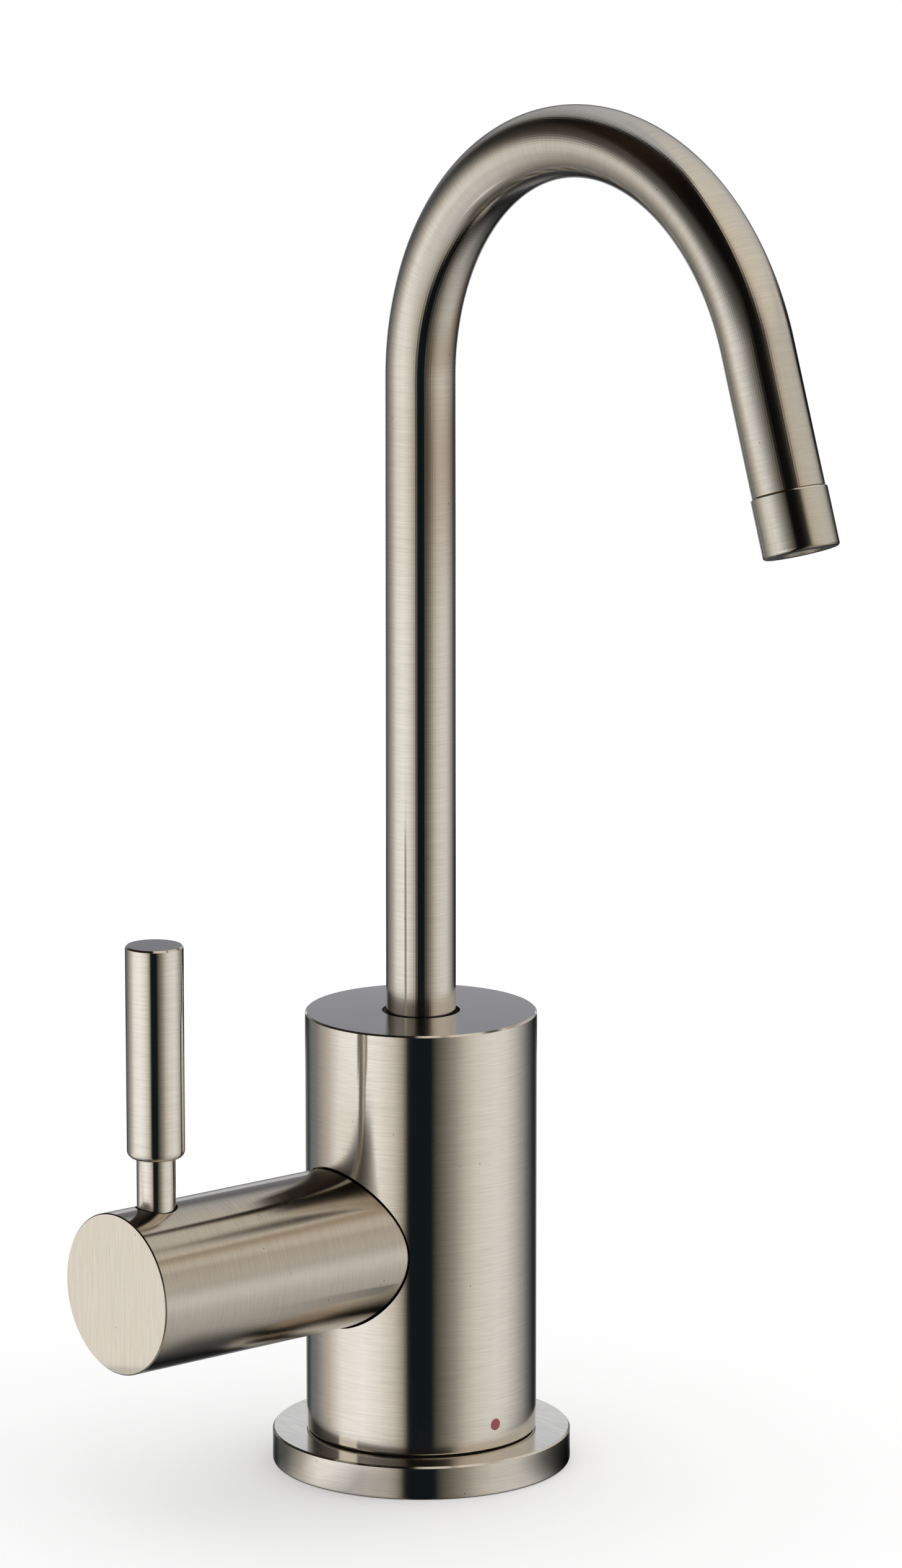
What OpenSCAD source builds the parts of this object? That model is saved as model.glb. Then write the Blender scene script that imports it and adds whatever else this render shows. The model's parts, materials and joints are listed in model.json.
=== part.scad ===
// Instant hot water faucet: a deck mounted body with a swivel gooseneck spout
// and a self closing lever handle on its side.
// Millimetres, +Z up, origin on the body's axis at the deck. The spout points
// to -Y and the handle to -X.

/* [Base plate] */
// Diameter of the base plate
plate_d = 51.8; // [48:0.2:60]
// Thickness of the base plate
plate_t = 5.9; // [5:0.1:8]
// Bevel of the plate's top edge
plate_bevel = 0.3; // [0.1:0.1:1]
// Rounding of the plate's bottom edge
plate_round = 0.5; // [0.2:0.1:1]
// Height of the threaded neck above the plate
neck_h = 8.1; // [6:0.1:10]
// Core diameter of the socket thread that takes the mounting shank
socket_d = 26.4; // [22:0.2:28]
// Width of the gasket under the plate
gasket_w = 3.8; // [3:0.1:4.4]
// Thickness of the gasket
gasket_t = 1.5; // [1:0.1:2.5]
// Distance from the plate's rim to the gasket
gasket_inset = 3; // [2:0.1:4]

/* [Body] */
// Diameter of the body
body_d = 40; // [38:0.2:44]
// Height of the body's top face above the deck
body_top = 80.1; // [78:0.1:90]
// Side wall of the body shell
body_wall = 2.5; // [2:0.1:3]
// Top wall of the body shell
body_top_wall = 4; // [3:0.1:5]
// Rounding of the body's bottom edge
body_bottom_round = 0.4; // [0.2:0.1:1.4]
// Bevel of the body's top edge
body_top_bevel = 0.3; // [0.1:0.1:0.8]
// Thickness of the seal between body and base plate
body_seal_t = 0.2; // [0.1:0.05:0.8]
// Width of the seal between body and base plate
body_seal_w = 1.6; // [0.5:0.1:1.8]
// Diameter of the red hot mark
mark_d = 2; // [1.5:0.1:4]
// Height of the red hot mark above the deck
mark_z = 10.4; // [8:0.1:20]
// Depth of the red hot mark's seat
mark_depth = 1; // [0.5:0.1:1.5]

/* [Handle] */
// Diameter of the handle hub
hub_d = 27.6; // [26:0.1:30]
// Height of the hub's axis above the deck
hub_z = 41.1; // [38:0.1:44]
// Distance from the body's axis to the hub's end face
hub_end = 66.4; // [64:0.1:76]
// Side wall of the hub
hub_wall = 2; // [1.5:0.1:2.5]
// Bevel of the hub's outer edge
hub_bevel = 0.2; // [0.1:0.1:0.6]
// How far the hub's rim is sunk into the side of the body
hub_sunk = 0.6; // [0.2:0.1:1.5]
// Angle that opens the valve
handle_open = 45; // [30:1:50]
// Diameter of the hub's grub screw
grub_d = 3.9; // [3:0.1:5]

/* [Lever] */
// Distance from the body's axis to the lever's axis
lever_x = 57.7; // [56:0.1:62]
// Diameter of the lever grip
grip_d = 9.8; // [8:0.1:14]
// Height of the grip's lower end above the hub's axis
grip_low = 22.3; // [18:0.1:26]
// Length of the grip
grip_len = 36.4; // [30:0.2:60]
// Rounding of the grip's lower edge
grip_round = 1.3; // [0.5:0.1:2]
// Bevel of the grip's top edge
grip_bevel = 0.3; // [0.1:0.1:1]
// Diameter of the stem between hub and grip
stem_d = 6.6; // [5.6:0.1:7.4]
// Diameter of the stem's threaded ends
stem_thread_d = 5; // [4:0.1:5.4]
// Thread length in the grip
stem_top_len = 11; // [8:0.2:20]
// Thread length in the hub
stem_low_len = 8; // [5:0.2:9]
// Depth of the spot face that takes the stem
stem_seat = 1.5; // [1:0.1:3]

/* [Spout] */
// Outer diameter of the spout tube
tube_d = 12; // [10:0.1:13]
// Wall of the spout tube
tube_wall = 1; // [0.8:0.1:1.4]
// Height at which the bend starts
bend_z = 190.1; // [150:0.1:240]
// Radius of the bend's centre line
bend_r = 43.4; // [30:0.1:60]
// Angle through which the tube bends
bend_angle = 161.2; // [120:0.2:180]
// Straight length of tube after the bend
drop_len = 23.8; // [15:0.1:60]
// Gap between the tube and the hole in the body's top
tube_gap = 0.75; // [0.4:0.05:1.2]
// Length of the ferrule that plugs into the valve block
ferrule_len = 18; // [16:0.2:19]
// Bore of the ferrule
ferrule_bore_d = 7; // [5:0.1:7.4]
// Length of the ferrule's spigot inside the tube
ferrule_spigot = 6; // [4:0.2:10]
// Height of the guide bush
bush_h = 8.6; // [6:0.2:10]
// Wall of the guide bush
bush_wall = 2.35; // [1.5:0.05:2.6]
// How far the guide bush sits below the body's top face
bush_recess = 1.5; // [0.8:0.1:2]

/* [Aerator] */
// Diameter of the aerator housing
aerator_d = 12.6; // [12.4:0.1:14]
// Length of the aerator housing
aerator_len = 10; // [8.6:0.1:13]
// Diameter of the opening in the housing's lip
outlet_d = 6.8; // [6:0.1:7.4]
// Thickness of the housing's lip
lip_t = 1.6; // [1.2:0.1:2]
// Rounding of the housing's lower edge
aerator_round = 0.5; // [0.2:0.1:0.8]
// Rounding of the housing's upper edge
aerator_top_round = 0.3; // [0.1:0.1:0.5]
// Diameter of the water holes in the flow insert
hole_d = 0.8; // [0.5:0.05:0.9]
// Spacing of the water holes
hole_pitch = 1.25; // [1.1:0.05:1.35]

/* [Valve] */
// Distance from the body's axis to the cartridge seat
seat_x = 0.4; // [0.1:0.1:1]
// Diameter of the ceramic discs
disc_d = 16; // [14:0.1:16.6]
// Thickness of each ceramic disc
disc_t = 3; // [2:0.1:3.2]
// Rim of ceramic outside each water port
port_rim = 1.2; // [1:0.1:1.6]
// Diameter of the water ports and drillings
port_d = 3.6; // [3:0.1:3.8]
// Width of the channel in the moving disc
channel_w = 2.6; // [2:0.1:2.8]
// Diameter of the valve stem
spindle_d = 8; // [6:0.1:9]
// Wall of the cartridge sleeve
sleeve_wall = 2.2; // [2:0.1:2.4]
// How far the sleeve's neck passes through the hub bearing
neck_reach = 5; // [3:0.1:6]
// Wall of the sleeve's neck
neck_wall = 2; // [1.6:0.1:3]
// Width of the hub bearing
bearing_w = 7; // [5:0.1:8]
// Space for the return spring between bearing and insert
spring_space = 12; // [11.6:0.1:14]
// Wire diameter of the return spring
wire_d = 1.1; // [0.8:0.05:1.2]
// Turns of the return spring
spring_turns = 4.25; // [3.25:1:4.25]
// Length of the splined insert in the hub
insert_len = 12; // [10:0.1:13]
// Core diameter of the hose port threads
hose_port_d = 7; // [6:0.1:7.4]
// Depth of the hose ports' threads
hose_port_depth = 7.5; // [6:0.1:9]
// Distance of the hot return port from the body's axis
hot_port_x = 8.8; // [8.4:0.1:9.4]

/* [Hidden] */

$fn = 96;

// Clearances
slip_gap = 0.05;
loose_gap = 0.1;
part_gap = 0.3;
film_gap = 0.02;
overrun = 1;

// Colours
nickel = "#b7b0a4";
brass = "#b48c46";
acetal = "#e4e0d6";
rubber = "#222224";
ceramic = "#f2f0ea";
steel = "#8f9296";
red = "#b0383c";

// Base plate and body
plate_r = plate_d / 2;
body_r = body_d / 2;
bore_r = body_r - body_wall;
neck_r = bore_r - loose_gap;
neck_top = plate_t + neck_h;
gasket_r = plate_r - gasket_inset;
shell_low = plate_t + body_seal_t;
block_top = body_top - body_top_wall;
hub_hole_r = hub_d / 2 + part_gap;

// Handle hub, lever and their places along the hub's axis
hub_r = hub_d / 2;
hub_bore_r = hub_r - hub_wall;
hub_start = sqrt(pow(body_r, 2) - pow(hub_r, 2)) - hub_sunk;
pocket_x = hub_start - 2 * part_gap;
spot_gap = 0.3;
grip_z = hub_z + grip_low;
stem_foot = hub_z + hub_r - stem_seat;

// Cartridge, from its seat outwards
seal_t = 1.5;
driver_t = 2.5;
shoulder_t = 1.7;
nut_web = 2.5;
nut_reach = 5;
thread_h = 1.2;
port_offset = disc_d / 2 - port_rim - port_d / 2;
sleeve_bore_r = disc_d / 2 + loose_gap;
sleeve_r = sleeve_bore_r + sleeve_wall;
block_bore_r = sleeve_r + slip_gap;
nut_r = block_bore_r + thread_h;
sleeve_x = seat_x + seal_t;
moving_x = sleeve_x + disc_t + film_gap;
driver_x = moving_x + disc_t + film_gap;
step_x = driver_x + driver_t + part_gap;
shoulder_x = step_x + shoulder_t;
nut_end = max(pocket_x, shoulder_x) + nut_web;
spindle_r = spindle_d / 2;
neck_out_r = spindle_r + neck_wall;
bearing_x = nut_end + part_gap;
bearing_end = bearing_x + bearing_w;
neck_end = bearing_end + neck_reach;
tab_len = 2;
washer_t = 1.5;
clip_t = 0.9;
washer_x = neck_end + tab_len + part_gap;
clip_x = washer_x + washer_t + slip_gap;
insert_x = bearing_end + spring_space;
insert_end = insert_x + insert_len;
hub_bore_end = insert_end + 2 * part_gap;
grub_x = insert_x + insert_len / 2;

// Stops of the handle: a lug that turns between the ends of a fixed tab
lug_angle = 134;
stop_play = 0.5;
tab_angle = 360 - lug_angle - handle_open - 2 * stop_play;

// Sealing rings: wire, and the places of their grooves
ring_d = 1.1;
stem_ring_d = 0.9;
ring_shares = [0.25, 0.6];
stem_ring_shares = [0.25, 0.65];
groove_side = 0.15;

// Spout, from its seat in the valve block upwards
tube_r = tube_d / 2;
tube_bore_r = tube_r - tube_wall;
floor_wall = 3.3;
chamber_h = 2.6;
chamber_r = 4.5;
spout_seat = hub_z + nut_r + floor_wall;
tube_start = spout_seat + ferrule_len;
socket_r = tube_r + slip_gap;
bush_r = socket_r + bush_wall;
bush_low = body_top - bush_recess - bush_h;
weld_step = 0.01;
weld_lap = 0.2;
catch_share = 0.42;
catch_z = on_ferrule(catch_share);
catch_w = 2.6;
catch_depth = 1.1;
catch_r = tube_r - catch_depth;
catch_grub_d = 3.9;
catch_tip_d = 2.2;

// Aerator, from the tube's end downwards
adapter_r = tube_bore_r - slip_gap;
adapter_in = 6;
adapter_out = 5.4;
adapter_wall = 1.5;
aerator_washer_t = 0.8;
insert_recess = 0.9;
seam_gap = 0.1;
lip_z = aerator_len - lip_t;
aerator_r = aerator_d / 2;

// Water drillings in the valve block
washer_pocket = 1.5;
washer_step = 0.3;
pocket_r = hose_port_d / 2 - washer_step;
port_floor = neck_top + hose_port_depth + washer_pocket;
seat_web = 0.6;
supply_x = seat_x - port_d / 2 - seat_web;
washer_h = 1.2;
cross_z = spout_seat - chamber_h / 2;
plug_d = 5;
plug_len = 5;
plug_sunk = 0.3;

// Points of an arc around c, from angle a to angle b
function arc_points(c, r, a, b, n) =
    [for (i = [0 : n]) c + r * [cos(a + (b - a) * i / n), sin(a + (b - a) * i / n)]];

// Outline of a toothed shaft with n teeth
function tooth_points(n, root, tip) =
    [for (i = [0 : 2 * n - 1]) (i % 2 == 0 ? tip : root) * [cos(180 * i / n), sin(180 * i / n)]];

// Stands its children on the hub's axis, x away from the body's axis and
// pointing outwards. Their own X is up
module on_hub_axis(x) {
    translate([-x, 0, hub_z]) rotate([0, -90, 0]) children();
}

// Stands its children at the end of the tube, pointing along the water
module on_tube_end() {
    translate([0, -bend_r, bend_z]) rotate([bend_angle, 0, 0])
        translate([0, bend_r, drop_len]) children();
}

// Round bar or hole from height a to height b
module rod(r, a, b) {
    translate([0, 0, a]) cylinder(r = r, h = b - a);
}

// Ring from height a to height b
module ring(outer, inner, a, b) {
    difference() {
        rod(outer, a, b);
        rod(inner, a - overrun, b + overrun);
    }
}

// Sector of a ring, starting at an angle
module sector(outer, inner, h, start, angle) {
    rotate([0, 0, start]) rotate_extrude(angle = angle) translate([inner, 0])
        square([outer - inner, h]);
}

// Round sealing ring of a wire diameter, at height z
module seal_ring(outer, wire, z) {
    translate([0, 0, z]) rotate_extrude() translate([outer - wire / 2, 0]) circle(d = wire, $fn = 32);
}

// Half outline of a turned bar from height a to height b, with its lower
// edge rounded and its upper edge bevelled
module bar_outline(r, a, b, low_round, top_bevel) {
    polygon(concat([[0, a]], arc_points([r - low_round, a + low_round], low_round, -90, 0, 8),
        [[r, b - top_bevel], [r - top_bevel, b], [0, b]]));
}

// Grub screw along Z with its key socket at the top
module grub_screw(d, len, tip_d, tip_len) {
    key_d = d / 2;
    difference() {
        union() {
            rod(d / 2, tip_len, len);
            rod(tip_d / 2, 0, tip_len + overrun);
        }
        translate([0, 0, len - key_d]) cylinder(d = key_d, h = key_d + overrun, $fn = 6);
    }
}

module base_plate() {
    color(nickel) difference() {
        union() {
            rotate_extrude() bar_outline(plate_r, 0, plate_t, plate_round, plate_bevel);
            rod(neck_r, 0, neck_top);
        }
        rod(socket_d / 2, -overrun, neck_top + overrun);
        ring(gasket_r + loose_gap, gasket_r - gasket_w - loose_gap, -overrun, gasket_t);
    }
}

module base_gasket() {
    color(rubber) ring(gasket_r, gasket_r - gasket_w, 0, gasket_t);
}

module body_shell() {
    color(nickel) difference() {
        rotate_extrude() bar_outline(body_r, shell_low, body_top, body_bottom_round, body_top_bevel);
        rod(bore_r, -overrun, block_top);
        rod(tube_r + tube_gap, 0, body_top + overrun);
        rod(bush_r + loose_gap, 0, body_top - bush_recess);
        on_hub_axis(0) rod(hub_hole_r, 0, body_r + overrun);
        catch_hole();
        mark_pin(mark_d / 2 + slip_gap / 2);
    }
}

module body_seal() {
    color(rubber) ring(neck_r + loose_gap + body_seal_w, neck_r + loose_gap, plate_t, shell_low);
}

// The red mark's pin, from its seat out past the body's side
module mark_pin(r) {
    translate([0, -body_r + mark_depth, mark_z]) rotate([90, 0, 0]) rod(r, 0, mark_depth + overrun);
}

module hot_mark() {
    color(red) intersection() {
        mark_pin(mark_d / 2);
        rod(body_r, 0, body_top);
    }
}

// Hole through body and block for the spout's grub screw
module catch_hole() {
    translate([0, 0, catch_z]) rotate([-90, 0, 0]) rod(catch_grub_d / 2 + loose_gap, 0, body_r + overrun);
}

module valve_block() {
    color(brass) difference() {
        rod(neck_r, neck_top, block_top);
        on_hub_axis(0) rod(block_bore_r, seat_x, body_r);
        on_hub_axis(0) rod(nut_r + slip_gap, pocket_x - nut_reach - part_gap, body_r);
        on_hub_axis(0) rod(hub_hole_r, pocket_x, body_r);
        rod(socket_r, spout_seat, block_top + overrun);
        rod(bush_r + loose_gap, bush_low, block_top + overrun);
        rod(chamber_r, spout_seat - chamber_h, spout_seat + overrun);
        catch_hole();
        supply_drillings();
        hot_drilling();
    }
}

// Cold water in and out: two hose ports and their ways to the cartridge seat
module supply_drillings() {
    for (side = [-1, 1]) {
        translate([-supply_x, side * port_offset, 0]) {
            hose_port();
            rod(port_d / 2, port_floor - overrun, hub_z + port_d / 2);
        }
        translate([0, side * port_offset, 0]) on_hub_axis(supply_x)
            rod(port_d / 2, 0, seat_x - supply_x + overrun);
    }
}

// Threaded port for a hose, with a pocket for its washer
module hose_port() {
    rod(hose_port_d / 2, neck_top - overrun, neck_top + hose_port_depth);
    rod(pocket_r, neck_top, port_floor);
}

// Hot water back from the tank: a hose port, a riser and a plugged cross hole
module hot_drilling() {
    translate([hot_port_x, 0, 0]) {
        hose_port();
        rod(port_d / 2, port_floor - overrun, cross_z);
    }
    translate([0, 0, cross_z]) rotate([0, 90, 0]) {
        rod(port_d / 2, 0, neck_r);
        rod(plug_d / 2 + slip_gap, neck_r - plug_len - plug_sunk, neck_r + overrun);
    }
}

module cross_plug() {
    color(brass) translate([0, 0, cross_z]) rotate([0, 90, 0])
        rod(plug_d / 2, neck_r - plug_len - plug_sunk, neck_r - plug_sunk);
}

module port_washers() {
    color(rubber) {
        for (side = [-1, 1]) translate([-supply_x, side * port_offset, 0]) port_washer();
        translate([hot_port_x, 0, 0]) port_washer();
    }
}

module port_washer() {
    ring(pocket_r - loose_gap, port_d / 2, port_floor - washer_h, port_floor);
}

module spout_bush() {
    color(acetal) ring(bush_r, socket_r, bush_low, body_top - bush_recess);
}

// Its tip stands in the ferrule's groove, so the spout turns but stays in
module spout_grub_screw() {
    tip_len = 2 * catch_depth;
    tip_y = catch_r + loose_gap;
    color(steel) translate([0, tip_y, catch_z]) rotate([-90, 0, 0])
        grub_screw(catch_grub_d, body_r - 2 * part_gap - tip_y, catch_tip_d, tip_len);
}

// The two water ports through a seal or disc of a thickness
module water_ports(t) {
    for (side = [-1, 1]) translate([0, side * port_offset, 0]) rod(port_d / 2, -overrun, t + overrun);
}

module cartridge_seal() {
    color(rubber) on_hub_axis(seat_x) difference() {
        rod(sleeve_r - loose_gap, 0, seal_t);
        water_ports(seal_t);
    }
}

// Key between the sleeve and the fixed disc
key_w = 2;
key_h = 0.8;

module disc_key(extra, h) {
    for (turn = [0, 180]) rotate([0, 0, turn])
        translate([disc_d / 2 - key_h - extra, -key_w / 2 - extra, 0])
            cube([key_h + sleeve_wall / 2 + extra, key_w + 2 * extra, h]);
}

module cartridge_sleeve() {
    groove_x = sleeve_x + disc_t / 2;
    color(acetal) difference() {
        union() {
            on_hub_axis(0) difference() {
                union() {
                    rod(sleeve_r, sleeve_x, shoulder_x);
                    rod(neck_out_r, shoulder_x, neck_end);
                    translate([0, 0, neck_end - overrun]) sector(neck_out_r - slip_gap,
                        spindle_r + part_gap, tab_len + overrun, lug_angle / 2 + stop_play, tab_angle);
                }
                rod(sleeve_bore_r, sleeve_x - overrun, step_x);
                rod(spindle_r + slip_gap, step_x - overrun, neck_end + tab_len + overrun);
            }
            on_hub_axis(sleeve_x) disc_key(0, disc_t);
        }
        on_hub_axis(0) ring(sleeve_r + overrun, sleeve_r - ring_d, groove_x - ring_d / 2 - groove_side,
            groove_x + ring_d / 2 + groove_side);
    }
}

module cartridge_ring() {
    color(rubber) on_hub_axis(0) seal_ring(sleeve_r, ring_d, sleeve_x + disc_t / 2);
}

module fixed_disc() {
    color(ceramic) on_hub_axis(sleeve_x) difference() {
        rod(disc_d / 2, 0, disc_t);
        water_ports(disc_t);
        translate([0, 0, -overrun]) disc_key(slip_gap, disc_t + 2 * overrun);
    }
}

// Screws over the sleeve into the block, with a six sided head. Where the
// sleeve's shoulder stands out of the block, a collar goes round it
module bonnet_nut() {
    head_r = hub_bore_r - part_gap;
    color(brass) on_hub_axis(0) difference() {
        union() {
            rod(nut_r, pocket_x - nut_reach, pocket_x + part_gap);
            translate([0, 0, pocket_x]) cylinder(r = head_r, h = nut_end - pocket_x, $fn = 6);
            if (shoulder_x > pocket_x) rod(head_r, pocket_x, shoulder_x);
        }
        rod(sleeve_r + slip_gap, 0, shoulder_x);
        rod(neck_out_r + loose_gap, 0, nut_end + overrun);
    }
}

// The hub turns on this ring, which also holds the spring's inner leg
module hub_bearing() {
    color(acetal) on_hub_axis(0) difference() {
        ring(hub_bore_r - slip_gap, neck_out_r + slip_gap, bearing_x, bearing_end);
        translate([0, coil_r, 0]) rod(leg_hole_r, bearing_end - leg_len - loose_gap, bearing_end + overrun);
    }
}

// Return spring: its path is drawn on an unrolled cylinder of the coil's
// radius, as distance along the turn and distance outwards
leg_len = 2.4;
leg_bend = 1.2;
leg_hole_r = wire_d / 2 + loose_gap;
coil_r = (hub_bore_r + neck_out_r) / 2;
coil_rings = 8;
coil_sides = 6;
bend_rings = 3;
coil_low = bearing_end + leg_bend;
coil_rise = spring_space - 2 * leg_bend;
coil_run = 360 * spring_turns * coil_r * PI / 180 - 2 * leg_bend;
coil_slope = atan(coil_rise / coil_run);
line_rings = round(coil_rings * spring_turns);
low_end = arc_points([leg_bend, coil_low], leg_bend, 180, 90 + coil_slope, bend_rings);
low_last = low_end[bend_rings];
line_len = (coil_rise - 2 * leg_bend + 2 * leg_bend * (1 - cos(coil_slope))) / sin(coil_slope);
line_end = low_last + line_len * [cos(coil_slope), sin(coil_slope)];
high_end = arc_points(line_end + leg_bend * [-sin(coil_slope), cos(coil_slope)], leg_bend,
    coil_slope - 90, 0, bend_rings);
coil_path = concat([[0, bearing_end - leg_len]], low_end,
    [for (i = [1 : line_rings - 1]) low_last + (line_end - low_last) * i / line_rings],
    high_end, [[high_end[bend_rings][0], insert_x + leg_len]]);
coil_turned = high_end[bend_rings][0] / coil_r * 180 / PI;
coil_pitch = 2 * PI * coil_r * tan(coil_slope);
echo(str("Least gap between the return spring's turns: ", coil_pitch * cos(coil_slope) - wire_d, " mm"));

// One ring of the wire around the path's point k
function wire_ring(k) =
    let (
        last = len(coil_path) - 1,
        ahead = coil_path[min(k + 1, last)] - coil_path[max(k - 1, 0)],
        dir = ahead / norm(ahead),
        turn = 90 + coil_path[k][0] / coil_r * 180 / PI,
        outward = [cos(turn), sin(turn), 0],
        across = [-sin(turn) * dir[1], cos(turn) * dir[1], -dir[0]]
    )
    [for (j = [0 : coil_sides - 1])
        outward * coil_r + [0, 0, coil_path[k][1]]
            + wire_d / 2 * (cos(360 * j / coil_sides) * outward + sin(360 * j / coil_sides) * across)];

module return_spring() {
    rings = len(coil_path);
    points = [for (k = [0 : rings - 1]) each wire_ring(k)];
    sides = [for (k = [0 : rings - 2], j = [0 : coil_sides - 1])
        let (a = k * coil_sides + j, b = k * coil_sides + (j + 1) % coil_sides)
        each [[a, b, b + coil_sides], [a, b + coil_sides, a + coil_sides]]];
    low_cap = [for (j = [1 : coil_sides - 2]) [0, j + 1, j]];
    top = (rings - 1) * coil_sides;
    high_cap = [for (j = [1 : coil_sides - 2]) [top, top + j, top + j + 1]];
    color(steel) on_hub_axis(0) polyhedron(points = points, faces = concat(sides, low_cap, high_cap));
}

module spout_ferrule() {
    color(brass) difference() {
        union() {
            rod(tube_r, spout_seat + film_gap, tube_start);
            rod(tube_bore_r - slip_gap, tube_start - overrun, tube_start + ferrule_spigot);
        }
        rod(ferrule_bore_d / 2, 0, tube_start + ferrule_spigot + overrun);
        for (share = ring_shares) ring_groove(on_ferrule(share));
        ring(tube_r + overrun, catch_r, catch_z - catch_w / 2, catch_z + catch_w / 2);
    }
}

function on_ferrule(share) = spout_seat + share * ferrule_len;

module ring_groove(z) {
    ring(tube_r + overrun, tube_r - ring_d, z - ring_d / 2 - groove_side, z + ring_d / 2 + groove_side);
}

module spout_rings() {
    color(rubber) for (share = ring_shares) seal_ring(tube_r, ring_d, on_ferrule(share));
}

// Bent bar or bore along the spout's centre line, run on at both ends. The
// last straight is a hair thicker and takes in the bend's end face
module spout_run(r, extra) {
    rod(r, tube_start - extra, bend_z);
    translate([0, -bend_r, bend_z]) rotate([90, 0, 90]) rotate_extrude(angle = bend_angle)
        translate([bend_r, 0]) circle(r = r);
    on_tube_end() rod(r + weld_step, -drop_len - weld_lap, extra);
}

module spout_tube() {
    color(nickel) difference() {
        spout_run(tube_r, 0);
        spout_run(tube_bore_r, overrun);
    }
}

module outlet_adapter() {
    color(brass) on_tube_end() ring(adapter_r, adapter_r - adapter_wall, -adapter_in, adapter_out);
}

module aerator_washer() {
    color(rubber) on_tube_end()
        ring(adapter_r - slip_gap, adapter_r - adapter_wall, adapter_out, adapter_out + aerator_washer_t);
}

// Flange and nose with water holes in a hexagonal pattern
module aerator_insert() {
    top = adapter_out + aerator_washer_t;
    rows = 2;
    color(acetal) on_tube_end() difference() {
        union() {
            rod(adapter_r - slip_gap, top, lip_z);
            rod(outlet_d / 2 - loose_gap, top, aerator_len - insert_recess);
        }
        for (row = [-rows : rows], hole = [0 : 2 * rows - abs(row)])
            translate([(hole - rows + abs(row) / 2) * hole_pitch, row * hole_pitch * sin(60), 0])
                rod(hole_d / 2, top - overrun, aerator_len, $fn = 24);
    }
}

module aerator_housing() {
    color(nickel) on_tube_end() difference() {
        rotate_extrude() polygon(concat([[0, seam_gap]],
            arc_points([aerator_r - aerator_top_round, seam_gap + aerator_top_round], aerator_top_round,
                -90, 0, 4),
            arc_points([aerator_r - aerator_round, aerator_len - aerator_round], aerator_round, 0, 90, 6),
            [[0, aerator_len]]));
        rod(adapter_r + slip_gap, 0, lip_z);
        rod(outlet_d / 2, 0, aerator_len + overrun);
    }
}

// Its channel joins the two water ports once the handle has turned
module moving_disc() {
    color(ceramic) on_hub_axis(moving_x) difference() {
        rod(disc_d / 2 - part_gap, 0, disc_t);
        rotate([0, 0, handle_open]) translate([0, 0, -overrun]) linear_extrude(disc_t / 2 + overrun) {
            square([channel_w, 2 * port_offset], center = true);
            for (side = [-1, 1]) translate([0, side * port_offset]) circle(d = channel_w);
        }
        translate([0, 0, disc_t - dog_h - loose_gap]) driver_dogs(slip_gap, dog_h + loose_gap + overrun);
    }
}

// Dogs that carry the moving disc round with the valve stem
dog_w = 2.4;
dog_h = 1.2;

module driver_dogs(extra, h) {
    reach = disc_d / 2 - 2 * part_gap;
    translate([-reach, -dog_w / 2 - extra, 0]) cube([2 * reach, dog_w + 2 * extra, h]);
}

module valve_stem() {
    color(brass) on_hub_axis(0) difference() {
        union() {
            rod(disc_d / 2 - 2 * part_gap, driver_x, driver_x + driver_t);
            translate([0, 0, driver_x - dog_h]) driver_dogs(0, dog_h + overrun);
            rod(spindle_r, driver_x, insert_x);
            translate([0, 0, insert_x - overrun]) linear_extrude(insert_len + overrun - part_gap)
                polygon(tooth_points(spline_teeth, spline_r - tooth_h, spline_r));
        }
        for (share = stem_ring_shares) stem_groove(stem_ring_x(share));
        ring(spindle_r + overrun, spindle_r - tooth_h, clip_x, clip_x + clip_t);
    }
}

// Spline at the stem's outer end
spline_teeth = 20;
spline_r = spindle_r - loose_gap;
tooth_h = 0.5;

function stem_ring_x(share) = step_x + share * (neck_end - step_x);

module stem_groove(x) {
    ring(spindle_r + overrun, spindle_r - stem_ring_d, x - stem_ring_d / 2 - groove_side,
        x + stem_ring_d / 2 + groove_side);
}

module stem_rings() {
    color(rubber) on_hub_axis(0)
        for (share = stem_ring_shares) seal_ring(spindle_r, stem_ring_d, stem_ring_x(share));
}

// Its lug turns between the ends of the sleeve's tab
module stop_washer() {
    color(steel) on_hub_axis(0) {
        ring(neck_out_r, spindle_r + slip_gap, washer_x, washer_x + washer_t);
        translate([0, 0, neck_end + part_gap]) sector(neck_out_r - slip_gap, spindle_r + loose_gap,
            washer_x + washer_t / 2 - neck_end - part_gap, -lug_angle / 2, lug_angle);
    }
}

module stem_clip() {
    opening = 60;
    color(steel) on_hub_axis(clip_x) sector(neck_out_r - clip_t, spindle_r - tooth_h + slip_gap,
        clip_t - slip_gap, opening / 2, 360 - opening);
}

// Splined adapter between the valve stem and the hub
module hub_insert() {
    color(brass) on_hub_axis(0) difference() {
        rod(hub_bore_r - film_gap, insert_x, insert_end);
        translate([0, 0, insert_x - overrun]) linear_extrude(insert_len + 2 * overrun)
            polygon(tooth_points(spline_teeth, spline_r - tooth_h + slip_gap, spline_r + slip_gap));
        rotate([0, 0, coil_turned]) translate([0, coil_r, 0])
            rod(leg_hole_r, insert_x - overrun, insert_x + leg_len + loose_gap);
        hub_grub_hole();
    }
}

// Threaded hole for the hub's grub screw, from the hub's underside inwards
module hub_grub_hole() {
    translate([0, 0, grub_x]) rotate([0, -90, 0]) rod(grub_d / 2 + slip_gap, 0, hub_r + overrun);
}

module hub_grub_screw() {
    tip = spline_r + slip_gap;
    color(steel) translate([-grub_x, 0, hub_z - tip]) rotate([180, 0, 0])
        grub_screw(grub_d, hub_r - 2 * part_gap - tip, grub_d / 2, grub_d / 4);
}

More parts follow.
